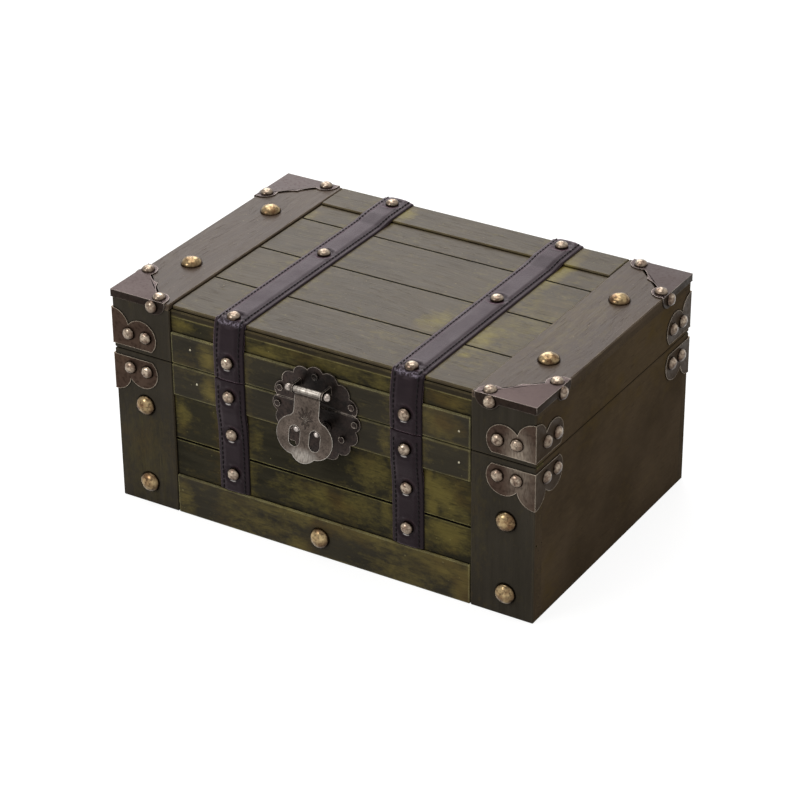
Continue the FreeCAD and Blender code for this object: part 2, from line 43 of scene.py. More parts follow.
mm = 0.001
half_width = 150 * mm
half_depth = 100 * mm
chest_height = 147 * mm
seam_height = 107 * mm
outer_edge = 1.4 * mm
strap_centre = 63 * mm
strap_half = 11 * mm
strap_rub_reach = 8 * mm


def tint(red, green, blue):
    # A colour as it looks on a screen, 0 to 255, as linear light.
    return tuple(((value / 255 + 0.055) / 1.055) ** 2.4 for value in (red, green, blue)) + (1.0,)


def feed(tree, sockets, values):
    # Gives each socket a plain value or the output of another node.
    for key, value in dict(values).items():
        if isinstance(value, bpy.types.NodeSocket):
            tree.links.new(value, sockets[key])
        else:
            sockets[key].default_value = value


def put(tree, kind, values=(), **settings):
    # One shader node, with its settings and what goes into it.
    node = tree.nodes.new("ShaderNode" + kind)
    for name, value in settings.items():
        setattr(node, name, value)
    feed(tree, node.inputs, values)
    return node


def calc(tree, operation, *values):
    return put(tree, "Math", enumerate(values), operation=operation).outputs[0]


def times(tree, first, second):
    return calc(tree, "MULTIPLY", first, second)


def larger(tree, first, second):
    return calc(tree, "MAXIMUM", first, second)


def vector(tree, operation, *values):
    node = put(tree, "VectorMath", enumerate(values), operation=operation)
    return node.outputs["Value" if operation in ("DOT_PRODUCT", "LENGTH") else "Vector"]


def axes(tree, value):
    return put(tree, "SeparateXYZ", {0: value}).outputs


def ramp(tree, value, low, high, first=0.0, last=1.0):
    return put(tree, "MapRange", enumerate((value, low, high, first, last))).outputs[0]


def noise(tree, position, scale, detail=3.0, roughness=0.55):
    # A cloudy value. The scale is one number, or one per axis to stretch it.
    if isinstance(scale, tuple):
        position = vector(tree, "MULTIPLY", position, scale)
        scale = 1.0
    return put(tree, "TexNoise", {"Vector": position, "Scale": scale, "Detail": detail,
                                  "Roughness": roughness}).outputs[0]


def tinted(tree, share, first, second):
    return put(tree, "Mix", {0: share, 6: first, 7: second}, data_type="RGBA").outputs[2]


def layered(tree, colour, layers):
    # A colour with others laid over it, each by its own share.
    for share, over in layers:
        colour = tinted(tree, share, colour, over)
    return colour


def bumped(tree, height, depth, strength):
    return put(tree, "Bump", {"Height": height, "Distance": depth, "Strength": strength}).outputs[0]


def new_finish(name):
    material = bpy.data.materials.new(name)
    material.use_nodes = True
    tree = material.node_tree
    return material, tree, tree.nodes["Principled BSDF"].inputs


def new_group(name, vectors, numbers, outputs):
    # An empty effect with its sockets. All that it puts out are numbers.
    group = bpy.data.node_groups.new(name, "ShaderNodeTree")
    for labels, way, kind in ((vectors, "INPUT", "Vector"), (numbers, "INPUT", "Float"),
                              (outputs, "OUTPUT", "Float")):
        for label in labels:
            group.interface.new_socket(label, in_out=way, socket_type="NodeSocket" + kind)
    return group, group.nodes.new("NodeGroupInput").outputs, group.nodes.new("NodeGroupOutput").inputs


def effect(tree, group, **values):
    # One of the shared effects, with its own values.
    return put(tree, "Group", values, node_tree=group).outputs


def grain_group():
    # Softwood: long streaks, fine fibres, short pores and slow clouds. The grain runs along X.
    group, given, made = new_group("wood_grain", ["Position"], [], ["Streak", "Fibre", "Pore", "Cloud"])
    place = given["Position"]
    bend = ramp(group, noise(group, place, 9.0, 1.0), 0.0, 1.0, -0.012, 0.012)
    wavy = vector(group, "ADD", place, put(group, "CombineXYZ", {"Y": bend}).outputs[0])
    feed(group, made, {
        "Streak": ramp(group, noise(group, wavy, (9.0, 190.0, 190.0), 4.0), 0.32, 0.68),
        "Fibre": ramp(group, noise(group, wavy, (38.0, 1100.0, 1100.0), 2.0), 0.3, 0.7),
        "Pore": ramp(group, noise(group, wavy, (70.0, 900.0, 900.0), 1.0), 0.64, 0.74),
        "Cloud": ramp(group, noise(group, place, 19.0, 4.0), 0.34, 0.66)})
    return group


def edge_group():
    # Wear along the edges, from how far the surface turns within the radius. Loss breaks it up.
    group, given, made = new_group("edge_wear", ["Position"], ["Radius", "Break", "Loss"], ["Wear"])
    rounded = put(group, "Bevel", {"Radius": given["Radius"]}, samples=4).outputs[0]
    turn = vector(group, "DOT_PRODUCT", rounded, put(group, "NewGeometry").outputs["Normal"])
    rough = noise(group, given["Position"], given["Break"], 4.0, 0.5)
    missing = times(group, ramp(group, rough, 0.62, 0.38), given["Loss"])
    feed(group, made, {"Wear": times(group, ramp(group, turn, 0.995, 0.86),
                                     calc(group, "SUBTRACT", 1.0, missing))})
    return group


def oval_spot_group():
    # One soft oval spot, full in its middle and fading to nought past its edge.
    group, given, made = new_group("soft_oval_spot", ["Position", "Centre", "Size"], [], ["Mask"])
    away = vector(group, "SUBTRACT", given["Position"], given["Centre"])
    reach = vector(group, "LENGTH", vector(group, "DIVIDE", away, given["Size"]))
    feed(group, made, {"Mask": ramp(group, reach, 1.25, 0.25)})
    return group


def inside_group():
    # One within a box, nought outside it.
    group, given, made = new_group("inside_box", ["Position", "Centre", "Half"], [], ["Mask"])
    away = vector(group, "SUBTRACT", given["Position"], given["Centre"])
    past = axes(group, vector(group, "SUBTRACT", vector(group, "ABSOLUTE", away), given["Half"]))
    farthest = larger(group, larger(group, past[0], past[1]), past[2])
    feed(group, made, {"Mask": calc(group, "LESS_THAN", farthest, 0.0)})
    return group


def crevice_shade_group():
    # Painted shade where two surfaces nearly meet, as in a saw cut or round a nail: the less open sky, the
    # darker. Its Grime output is this shade.
    group, given, made = new_group("crevice_shade", [], ["Reach"], ["Grime"])
    open_sky = put(group, "AmbientOcclusion", {"Distance": given["Reach"]}, samples=6).outputs["AO"]
    feed(group, made, {"Grime": ramp(group, open_sky, 0.8, 0.48)})
    return group


def flush_group():
    # End is the ends of the box. Inner is its ends and back without their outer edges: boards meet flush there.
    group, given, made = new_group("flush_joints", ["Position"], [], ["Inner", "End"])
    spot = axes(group, given["Position"])
    facing = axes(group, put(group, "TexCoord").outputs["Normal"])
    end = calc(group, "GREATER_THAN", calc(group, "ABSOLUTE", facing[0]), 0.9)
    rear = calc(group, "GREATER_THAN", facing[1], 0.9)
    across = calc(group, "GREATER_THAN", calc(group, "ABSOLUTE", spot[0]), half_width - outer_edge)
    deep = calc(group, "GREATER_THAN", calc(group, "ABSOLUTE", spot[1]), half_depth - outer_edge)
    high = calc(group, "ABSOLUTE", calc(group, "SUBTRACT", spot[2], chest_height / 2))
    seam = calc(group, "ABSOLUTE", calc(group, "SUBTRACT", spot[2], seam_height))
    level = larger(group, calc(group, "GREATER_THAN", high, chest_height / 2 - outer_edge),
                   calc(group, "LESS_THAN", seam, outer_edge))
    end_inner = times(group, end, calc(group, "SUBTRACT", 1.0, larger(group, deep, level)))
    rear_inner = times(group, rear, calc(group, "SUBTRACT", 1.0, larger(group, across, level)))
    feed(group, made, {"Inner": larger(group, end_inner, rear_inner), "End": end})
    return group


wood_grain = grain_group()
edge_wear = edge_group()
soft_oval_spot = oval_spot_group()
inside_box = inside_group()
crevice_shade = crevice_shade_group()
flush_joints = flush_group()
inside_centre = Vector((0.0, 1.25, 71.5)) * mm
inside_half = Vector((143.1, 91.85, 67.55)) * mm
bare_wood = tint(104, 78, 50)
bare_streak = tuple(channel * 0.7 for channel in bare_wood[:3]) + (1.0,)
painted_shade_colour = tint(16, 13, 9)
umber = tint(92, 76, 44)
warm_polish = (1.0, 0.91, 0.84, 1.0)
end_dark = tint(70, 59, 46)
end_light = tint(87, 74, 59)
along_x = (0.0, 0.0, 0.0)
along_y = (0.0, 0.0, math.radians(90))
along_z = (0.0, math.radians(90), 0.0)


def spot_strength(tree, place, spot):
    # How strong a spot is at each point. It is (x, y, z, half x, half y, half z, strength), in millimetres.
    mask = effect(tree, soft_oval_spot, Position=place, Centre=Vector(spot[:3]) * mm, Size=Vector(spot[3:6]) * mm)
    return times(tree, mask["Mask"], spot[6])


def stained_wood(name, turn, dark, light, rubbed, worn, spots, gloss, roughness, strap_rub=0.0, edge_rub=0.1,
                 wear_width=1.1, cut=None, corner_shade=0.92):
    # Stain over softwood, rubbed thin beside the straps, along the edges and in spots. A cut is the box that
    #     # holds the saw cuts, painted in shade, (x, y, z, half x, half y, half z) in millimetres. Corner shade
    #     is how strongly shade is painted into corners.
    material, tree, shader = new_finish(name)
    place = put(tree, "TexCoord").outputs["Object"]
    turned = put(tree, "Mapping", {"Vector": place, "Rotation": turn}).outputs[0]
    grain = effect(tree, wood_grain, Position=turned)
    flush = effect(tree, flush_joints, Position=place)
    loose = calc(tree, "SUBTRACT", 1.0, flush["Inner"])
    arris = effect(tree, edge_wear, Position=place, Radius=wear_width * mm, Break=90.0, Loss=0.65)["Wear"]
    border = effect(tree, edge_wear, Position=place, Radius=3.2 * mm, Break=38.0, Loss=1.0)["Wear"]
    side = calc(tree, "ABSOLUTE", axes(tree, place)[0])
    beside = calc(tree, "ABSOLUTE", calc(tree, "SUBTRACT", side, strap_centre))
    thin = ramp(tree, beside, strap_half + strap_rub_reach, strap_half - 1 * mm, 0.0, strap_rub)
    thin = larger(tree, thin, times(tree, times(tree, border, loose), edge_rub))
    for spot in spots:
        thin = larger(tree, thin, spot_strength(tree, place, spot))
    ragged = ramp(tree, noise(tree, turned, (110.0, 210.0, 210.0), 9.0, 0.78), 0.3, 0.7, -0.62, 0.42)
    thin = ramp(tree, calc(tree, "ADD", thin, ragged), 0.0, 1.0)
    bared = tinted(tree, ramp(tree, noise(tree, place, 34.0, 2.0), 0.48, 0.66), rubbed, umber)
    ends = tinted(tree, grain["Cloud"], end_dark, end_light)
    flecks = ramp(tree, noise(tree, place, 560.0, 2.0), 0.71, 0.76, 0.0, 0.45)
    # Painted shade in corners and round nails, where little open sky is seen.
    grime_and_shade = effect(tree, crevice_shade, Reach=1.3 * mm)["Grime"]
    layers = [
        (times(tree, grain["Streak"], 0.75), light),
        (times(tree, grain["Cloud"], 0.65), light),
        (ramp(tree, noise(tree, place, 13.0, 3.0), 0.42, 0.66, 0.0, 0.4), dark),
        (flush["End"], ends),
        (times(tree, thin, 0.85), bared),
        (times(tree, grain["Fibre"], 0.24), dark),
        (times(tree, grain["Pore"], 0.55), dark),
        (flecks, worn),
        (times(tree, times(tree, arris, loose), 0.85), worn),
        (times(tree, grime_and_shade, corner_shade), painted_shade_colour)]
    # Painted shade inside the saw cuts.
    if cut:
        sawn = effect(tree, inside_box, Position=place, Centre=Vector(cut[:3]) * mm, Half=Vector(cut[3:]) * mm)
        layers.append((sawn["Mask"], painted_shade_colour))
    inner = effect(tree, inside_box, Position=place, Centre=inside_centre, Half=inside_half)
    layers.append((inner["Mask"], tinted(tree, grain["Streak"], bare_wood, bare_streak)))
    rough = ramp(tree, calc(tree, "ADD", grain["Fibre"], grain["Pore"]), 0.0, 2.0,
                 roughness - 0.06, roughness + 0.12)
    height = calc(tree, "SUBTRACT", times(tree, grain["Fibre"], 0.5), grain["Pore"])
    feed(tree, shader, {
        "Base Color": layered(tree, dark, layers),
        "Roughness": larger(tree, rough, flush["End"]),
        "Specular IOR Level": gloss,
        "Specular Tint": warm_polish,
        "Normal": bumped(tree, height, 0.12 * mm, 0.6)})
    return material


def dress(material, *names):
    for name in names:
        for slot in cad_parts[name].material_slots:
            slot.material = material


def upright_spots(y, *spots):
    # Spots on a front or back, from (x, z, half x, half z, strength).
    return [(x, y, z, half_x, 20, half_z, strength) for x, z, half_x, half_z, strength in spots]


plank_spots = upright_spots(
    -97, (-102, 70, 7, 15, 0.75), (-100, 134, 12, 6, 0.8), (-38, 131, 18, 4, 0.9), (43, 132, 11, 5, 0.7),
    (-47, 70, 6, 14, 0.5), (30, 45, 9, 9, 0.7), (47, 45, 6, 12, 0.85), (36, 71, 18, 14, 0.8),
    (85, 71, 16, 13, 1.3), (91, 43, 19, 14, 1.1), (92, 135, 20, 8, 0.9), (0, 140, 250, 2.5, 0.9),
    (0, 135, 80, 9, 0.6), (10, 42, 45, 14, 0.8), (94, 68, 18, 20, 0.9), (77, 79, 5, 7, 1.2),
    (80, 60, 6, 9, 1.3), (-108, 76, 3, 12, 1.1))
front_cut = (0, -90, 52.9, 149.8, 7.75, 1.2)
front_stain = stained_wood(
    "front_plank_stain", along_x, tint(39, 37, 30), tint(65, 61, 48), tint(117, 106, 58), tint(176, 168, 112),
    plank_spots, gloss=0.01, roughness=0.46, strap_rub=0.55, edge_rub=0.6, cut=front_cut)
dress(front_stain, "base_front_lower_plank", "base_front_upper_plank", "lid_front_board")
side_spots = [(150, -84, 30, 20, 22, 34, 0.7), (150, -40, 60, 20, 60, 40, 0.3), (150, 40, 25, 20, 40, 18, 0.4),
              (150, 30, 118, 20, 120, 42, 0.85)]
side_stain = stained_wood(
    "side_board_stain", along_y, end_dark, end_light, tint(94, 80, 60), tint(96, 82, 62),
    side_spots, gloss=0.01, roughness=0.5)
dress(side_stain, "base_left_board", "base_right_board", "base_bottom_board", "lid_left_board",
      "lid_right_board")
back_spots = upright_spots(
    100, (-112, 24, 34, 22, 0.8), (30, 12, 70, 10, 0.7), (118, 60, 22, 34, 0.6), (-20, 98, 60, 9, 0.7),
    (10, 126, 44, 12, 0.6), (-118, 84, 16, 14, 0.5), (124, 14, 20, 14, 0.9), (-60, 50, 50, 12, 0.4))
back_stain = stained_wood(
    "back_board_stain", along_x, tint(37, 32, 22), tint(56, 49, 34), tint(102, 92, 50), tint(130, 116, 82),
    back_spots, gloss=0.08, roughness=0.5, edge_rub=0.4)
dress(back_stain, "base_back_board", "lid_back_board", "lid_top_panel")

# Front frame. Two stiles and the rails of base and lid, thin slats nailed over the front
# planks. Their arrises are rubbed to a pale yellow-green line.

rail_spots = upright_spots(
    -100, (-79, 117, 8, 11, 1.0), (-78, 95, 8, 11, 1.0), (-96, 108, 12, 9, 0.4), (86, 119, 18, 10, 0.95),
    (48, 96, 6, 12, 0.5), (-102, 13, 9, 14, 0.7), (103, 10, 10, 18, 1.6), (60, 8, 30, 8, 0.6),
    (-40, 10, 40, 9, 0.5), (10, 25, 90, 9, 0.8), (88, 22, 26, 14, 1.0), (-14, 4, 12, 8, 0.9),
    (107, 12, 5, 18, 2.0))
rail_stain = stained_wood(
    "rail_stain", along_x, tint(39, 36, 29), tint(63, 58, 45), tint(122, 109, 60), tint(190, 182, 130),
    rail_spots, gloss=0.08, roughness=0.46, strap_rub=0.4, edge_rub=0.75, wear_width=1.3)
dress(rail_stain, "base_top_rail", "base_bottom_rail", "lid_front_rail")
stile_stain = stained_wood(
    "stile_stain", along_z, tint(53, 49, 42), tint(71, 66, 58), tint(86, 78, 50), tint(92, 82, 64),
    upright_spots(-100, (-130, 35, 25, 40, 0.6), (112, 60, 8, 50, 0.3)), gloss=0.01, roughness=0.45)
dress(stile_stain, "base_left_stile", "base_right_stile", "lid_left_stile", "lid_right_stile")

# Lid top. Four thin planks with saw-cut joints lie between two end boards and a back rail,
# which stand a little higher. All are stained and take a soft polish.

top_spots = [
    (77, 66, 145, 7, 40, 20, 1.0), (80, -38, 145, 10, 22, 20, 1.0), (43, -36, 145, 11, 18, 20, 0.9),
    (80, -62, 145, 5, 4, 20, 1.0), (-49, 86, 147, 7, 13, 20, 1.0), (-103, 57, 145, 6, 9, 20, 0.7),
    (93, -10, 145, 22, 70, 20, 0.4), (30, -70, 145, 30, 14, 20, 0.2), (-45, 40, 145, 10, 30, 20, 0.2)]
top_cut = (0, -10.7, 143.7, 107.5, 84.3, 1.7)
top_stain = stained_wood(
    "lid_plank_stain", along_x, tint(58, 49, 36), tint(78, 67, 50), tint(124, 112, 46), tint(150, 138, 96),
    top_spots, gloss=0.13, roughness=0.4, strap_rub=0.35, edge_rub=0.3, wear_width=0.8, cut=top_cut)
dress(top_stain, "lid_back_rail", "lid_back_plank", "lid_rear_middle_plank", "lid_front_middle_plank",
      "lid_front_plank")
end_stain = stained_wood(
    "end_board_stain", along_y, tint(66, 54, 47), tint(80, 66, 55), tint(98, 86, 50), tint(150, 134, 108),
    [(118, 0, 147, 22, 70, 20, 0.45)], gloss=0.13, roughness=0.4, edge_rub=0.2, wear_width=0.8, corner_shade=0.45)
dress(end_stain, "lid_left_end_board", "lid_right_end_board")

# Pins. Small steel pins with washed heads, tapped through the rails into the front planks.
# Only their pale worn heads show.


def select_none():
    bpy.ops.object.select_all(action="DESELECT")


def pick(*pieces):
    # Makes these the only selected objects, and the first the active one.
    select_none()
    for piece in pieces:
        piece.select_set(True)
    bpy.context.view_layer.objects.active = pieces[0]


def place_made():
    # Puts the place, turn and size of the new object into its mesh.
    bpy.ops.object.transform_apply(location=True, rotation=True, scale=True)
    return bpy.context.object


def apply_all(piece):
    pick(piece)
    for modifier in list(piece.modifiers):
        bpy.ops.object.modifier_apply(modifier=modifier.name)


def round_edges(piece, width, segments, angle=30):
    rounding = piece.modifiers.new("rounding", "BEVEL")
    rounding.width = width
    rounding.segments = segments
    rounding.limit_method = "ANGLE"
    rounding.angle_limit = math.radians(angle)


def joined(pieces, name):
    pick(*pieces)
    bpy.ops.object.join()
    pieces[0].name = name
    return pieces[0]


def finish_piece(piece, material, body, slot, *nodes, smooth=35):
    # Smooth shading, the finish, and the body that the piece moves with.
    pick(piece)
    bpy.ops.object.shade_smooth_by_angle(angle=math.radians(smooth))
    piece.data.materials.clear()
    piece.data.materials.append(material)
    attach(piece, body)
    if nodes:
        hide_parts(*nodes)


def patina_group():
    # Old plated metal: slow clouds of tarnish, fine grime and small pits.
    group, given, made = new_group("patina", ["Position"], ["Clouds", "Pitting"], ["Tarnish", "Grime", "Pits"])
    slow = noise(group, given["Position"], given["Clouds"], 5.0, 0.6)
    fine = noise(group, given["Position"], given["Pitting"], 3.0, 0.6)
    feed(group, made, {"Tarnish": ramp(group, slow, 0.36, 0.64), "Grime": ramp(group, fine, 0.48, 0.66),
                       "Pits": fine})
    return group


patina = patina_group()
shaded_side = Vector((0.45, 0.0, -0.9))
clear = (1.0, 1.0, 1.0, 1.0)


def aged_metal(name, body, dull, grime_and_shade, worn, metallic, roughness, clouds, pitting, wear_width=0.3, head=False,
               bright=(), shade_spots=(), upper=None, ends=None, worn_from=0.0, gloss=0.5, glance=clear):
    # Plated metal with tarnish, fine grime, painted shade in the low places and bright worn edges. A head is
    #     # that of a nail or stud, with grime and painted shade round its rim and painted shade on its lower
    #     side.
    #     # Bright spots are made lighter, shade spots get painted shade. Top sheen is a painted sheen on faces
    #     that look up;
    #     # ends is painted shade, with less metal, on faces that look to the ends. Edges below the height
    #     worn_from stay dull. Gloss and glance are the strength and tint of the lacquer.
    material, tree, shader = new_finish(name)
    coords = put(tree, "TexCoord").outputs
    place = coords["Object"]
    facing = axes(tree, coords["Normal"])
    old = effect(tree, patina, Position=place, Clouds=clouds, Pitting=pitting)
    layers = [(old["Tarnish"], dull), (times(tree, old["Grime"], 0.7), grime_and_shade)]
    plating = metallic
    # Painted sheen on the faces that look up.
    if upper:
        layers.append((ramp(tree, facing[2], 0.6, 0.9, 0.0, 0.85), upper))
    # Painted shade on the faces that look to the ends, where less metal is also set.
    if ends:
        endways = ramp(tree, calc(tree, "ABSOLUTE", facing[0]), 0.6, 0.9, 0.0, 0.85)
        layers.append((endways, ends))
        plating = ramp(tree, endways, 0.0, 0.85, metallic, 0.1)
    if head:
        # Darker towards the rim, grime with painted shade, and painted shade on the lower side of each head.
        to_rim = ramp(tree, axes(tree, coords["UV"])[1], 0.76, 0.54, 0.0, 0.85)
        below = ramp(tree, vector(tree, "DOT_PRODUCT", coords["Normal"], shaded_side), -0.05, 0.65, 0.0, 0.8)
        layers += [(to_rim, grime_and_shade), (below, grime_and_shade)]
    else:
        # Painted shade in the low places round the metal.
        low = effect(tree, crevice_shade, Reach=1.2 * mm)["Grime"]
        wear = effect(tree, edge_wear, Position=place, Radius=wear_width * mm, Break=160.0, Loss=0.45)["Wear"]
        rubbed = ramp(tree, axes(tree, place)[2], (worn_from - 1.5) * mm, worn_from * mm, 0.3, 0.95)
        layers += [(times(tree, low, 0.6), grime_and_shade), (times(tree, wear, rubbed), worn)]
    scratched = ramp(tree, noise(tree, place, (900.0, 300.0, 240.0), 3.0), 0.36, 0.6, 0.45, 1.12)
    for spots, finish in ((bright, worn), (shade_spots, grime_and_shade)):
        layers += [(times(tree, spot_strength(tree, place, spot), scratched), finish) for spot in spots]
    feed(tree, shader, {
        "Base Color": layered(tree, body, layers),
        "Metallic": plating,
        "Roughness": ramp(tree, calc(tree, "ADD", old["Tarnish"], old["Grime"]), 0.0, 2.0,
                          roughness - 0.08, roughness + 0.2),
        "Specular IOR Level": gloss,
        "Specular Tint": glance,
        "Normal": bumped(tree, old["Pits"], 0.15 * mm, 0.5)})
    return material


pin_radius = 0.75 * mm
pin_height = 0.8 * mm
pin_rounding = 0.3 * mm
pin_metal = aged_metal(
    "pin_head_metal", tint(206, 200, 176), tint(176, 166, 140), tint(110, 96, 74), tint(230, 226, 210),
    metallic=0.6, roughness=0.4, clouds=300.0, pitting=2400.0, wear_width=0.2)
for body, places in (("lid", [(-92, 120), (99, 117.5)]), ("base", [(-88, 97), (99, 96.5)])):
    heads = []
    for x, z in places:
        select_none()
        bpy.ops.mesh.primitive_cylinder_add(vertices=14, radius=pin_radius, depth=pin_height,
                                            location=(x * mm, -half_depth, z * mm),
                                            rotation=(math.radians(90), 0.0, 0.0))
        heads.append(place_made())
        round_edges(heads[-1], pin_rounding, 3)
        apply_all(heads[-1])
    finish_piece(joined(heads, body + "_rail_pins"), pin_metal, body, "pale_brass")

# Corner metal. Lobed brackets wrap the edges above and below the seam and three-sided covers
# cap the lid corners. They are pressed from thin sheet, toned dark bronze, their edges rubbed bright.


def edit(piece):
    pick(piece)
    bpy.ops.object.mode_set(mode="EDIT")


def edit_all(piece):
    edit(piece)
    bpy.ops.mesh.select_all(action="SELECT")


def done():
    bpy.ops.object.mode_set(mode="OBJECT")


def node_copy(node, name):
    # A copy of a CAD solid as one skin, in edit mode.
    piece = bpy.data.objects.new(name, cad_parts[node].data.copy())
    bpy.context.collection.objects.link(piece)
    edit_all(piece)
    bpy.ops.mesh.remove_doubles(threshold=0.01 * mm)
    return piece


def eased_copy(node, name, width, segments=2):
    # A copy of a CAD solid whose edges are to be rounded.
    piece = node_copy(node, name)
    bpy.ops.mesh.customdata_custom_splitnormals_clear()
    bpy.ops.mesh.dissolve_limited(angle_limit=math.radians(1))
    done()
    round_edges(piece, width, segments, 32)
    return piece


def choose_faces(piece, chosen):
    for part in (piece.data.vertices, piece.data.edges, piece.data.polygons):
        for item in part:
            item.select = False
    for face in piece.data.polygons:
        face.select = chosen(face)


def raised_rim(piece, chosen, width, depth):
    # Sinks the chosen flat faces inside their outline, which leaves a bead along the edge.
    choose_faces(piece, chosen)
    edit(piece)
    bpy.ops.mesh.inset(thickness=width, depth=-depth)
    done()


def outer_face(face):
    # The outward faces of the corner metal, on the front, back, ends and top of the chest.
    at, way = face.center, face.normal
    proud = 0.3 * mm
    return (way.x * at.x > 0 and abs(way.x) > 0.99 and abs(at.x) > half_width + proud
            or way.y * at.y > 0 and abs(way.y) > 0.99 and abs(at.y) > half_depth + proud
            or way.z > 0.99 and at.z > chest_height + proud)


sheet_rounding = 0.22 * mm
bead_width = 0.7 * mm
bead_depth = 0.2 * mm
# The brackets get painted shade on the faces that look to the ends.
bracket_bronze = aged_metal(
    "bracket_bronze", tint(76, 62, 53), tint(66, 53, 46), tint(50, 39, 33), tint(220, 206, 186),
    metallic=0.75, roughness=0.42, clouds=60.0, pitting=420.0, wear_width=0.75, ends=tint(58, 47, 35),
    bright=[(139, -102, 114, 10, 14, 16, 0.26), (141, -102, 94, 10, 14, 18, 0.12)],
    gloss=0.05, glance=(0.55, 0.46, 0.38, 1.0))
# The covers get a painted sheen on the faces that look up and painted shade on those that look to the ends.
cover_bronze = aged_metal(
    "cover_bronze", tint(46, 37, 32), tint(40, 32, 28), tint(32, 26, 22), tint(206, 192, 180),
    metallic=0.75, roughness=0.42, clouds=60.0, pitting=420.0, wear_width=0.55, upper=tint(95, 82, 80),
    ends=tint(50, 40, 30), worn_from=146.0, gloss=0.05)
for body, kind, bronze in (("base", "bracket", bracket_bronze), ("lid", "bracket", bracket_bronze),
                           ("lid", "cover", cover_bronze)):
    for corner in ("front_left", "front_right", "back_left", "back_right"):
        node = "%s_%s_%s" % (body, corner, kind)
        sheet = eased_copy(node, node + "_sheet", sheet_rounding)
        raised_rim(sheet, outer_face, bead_width, bead_depth)
        apply_all(sheet)
        finish_piece(sheet, bronze, body, "bronze_sheet", node)

# Leather straps. Two purple-brown straps run over the lid and down the front, cut at the seam.
# Each is a folded strip, stitched along both edges and nailed through to the wood.

strap_thickness = 2.4 * mm
crown = 0.2 * mm
strap_bend = 1.3 * mm
# The runs are the corners of each strap's line on the wood, (y, z) in millimetres.
fold = (-96.5, 145.5)
lid_run = [(-100, 107.3), (-100, 128.5), (-98, 143), fold, (60, 145.5), (73, 147), (100, 147), (100, 112)]
base_run = [(-98, 27.7), (-98, 62), (-98.3, 70), (-98.9, 77), (-100, 85.2), (-100, 106.7)]
stitch_pitch = 3.4 * mm
stitch_row = strap_half - 3.0 * mm


def strap_path(name, x, run):
    # The line of the strap on the wood, with rounded bends.
    line = bpy.data.meshes.new(name)
    line.from_pydata([(x, y * mm, z * mm) for y, z in run], [(i, i + 1) for i in range(len(run) - 1)], [])
    path = bpy.data.objects.new(name, line)
    bpy.context.collection.objects.link(path)
    edit(path)
    bpy.ops.mesh.select_all(action="DESELECT")
    done()
    for vertex in list(line.vertices)[1:-1]:
        vertex.select = True
    edit(path)
    bpy.ops.mesh.bevel(affect="VERTICES", offset=strap_bend, segments=6)
    done()
    pick(path)
    bpy.ops.object.convert(target="CURVE")
    path.data.dimensions = "3D"
    path.data.twist_mode = "MINIMUM"
    return path


def path_points(path):
    return [Vector(point.co[:3]) for point in path.data.splines[0].points]


def path_length(points):
    return sum((b - a).length for a, b in zip(points, points[1:]))


def place_on(points, spot):
    # How far along the path its nearest point to a spot is.
    best = (1.0, 0.0)
    gone = 0.0
    for a, b in zip(points, points[1:]):
        span = b - a
        share = min(max((spot - a).dot(span) / span.length_squared, 0.0), 1.0)
        best = min(best, ((a + span * share - spot).length, gone + share * span.length))
        gone += span.length
    return best[1]


def press(piece, chosen, depth):
    # Presses down the faces whose middles are chosen.
    choose_faces(piece, lambda face: chosen(face.center))
    for face in piece.data.polygons:
        if face.select:
            for index in face.vertices:
                piece.data.vertices[index].select = True
    edit(piece)
    bpy.ops.transform.translate(value=(0.0, 0.0, -depth))
    done()


def lay_along(piece, path):
    wrap = piece.modifiers.new("wrap", "CURVE")
    wrap.object = path
    wrap.deform_axis = "POS_X"
    apply_all(piece)


def leather_strip(name, length, nails, folds):
    # The strap laid flat, with a crowned middle, stitch channels, thinned edges, a dent at each nail and
    # creases at each fold.
    select_none()
    bpy.ops.mesh.primitive_grid_add(x_subdivisions=round(length / (1.1 * mm)), y_subdivisions=20, size=1.0,
                                    location=(length / 2, 0.0, strap_thickness - crown))
    strip = bpy.context.object
    strip.name = name
    strip.scale = (length, 2 * strap_half, 1.0)
    place_made()
    for near_edge, at_edge, depth in ((strap_half * 2, 4.4 * mm, -crown), (3.9 * mm, 2.3 * mm, 0.4 * mm),
                                      (2.0 * mm, -1.0, 0.35 * mm), (1.0 * mm, -1.0, 0.55 * mm)):
        press(strip, lambda at: at_edge < strap_half - abs(at.y) < near_edge, depth)
    for along in nails:
        for reach, depth in ((8.0, -0.15), (6.2, 0.45), (5.2, 0.5)):
            press(strip, lambda at: math.hypot(at.x - along, at.y) < reach * mm, depth * mm)
    for along in folds:
        for offset, depth in ((-6.0, 0.15), (-3.2, 0.35), (3.2, 0.35), (6.4, 0.2)):
            press(strip, lambda at: abs(at.x - along - offset * mm) < 0.8 * mm, depth * mm)
    hide = strip.modifiers.new("hide", "SOLIDIFY")
    hide.thickness = strap_thickness - crown
    hide.offset = -1.0
    smooth = strip.modifiers.new("smooth", "SUBSURF")
    smooth.levels = 1
    smooth.render_levels = 1
    apply_all(strip)
    return strip


def stitch_rows(name, length):
    # Both rows of waxed stitches, one short slug repeated along the strip.
    select_none()
    bpy.ops.mesh.primitive_uv_sphere_add(segments=8, ring_count=5, radius=1.0,
                                         location=(1.8 * mm, -stitch_row, strap_thickness - 0.4 * mm),
                                         rotation=(0.0, math.radians(90), 0.0))
    stitch = bpy.context.object
    stitch.name = name
    stitch.scale = (0.4 * mm, 0.5 * mm, 1.35 * mm)
    place_made()
    in_row = int((length - 2 * mm) / stitch_pitch)
    for count, offset in ((in_row, (stitch_pitch, 0.0, 0.0)), (2, (0.0, 2 * stitch_row, 0.0))):
        repeat = stitch.modifiers.new("repeat", "ARRAY")
        repeat.use_relative_offset = False
        repeat.use_constant_offset = True
        repeat.constant_offset_displace = offset
        repeat.count = count
    apply_all(stitch)
    return stitch


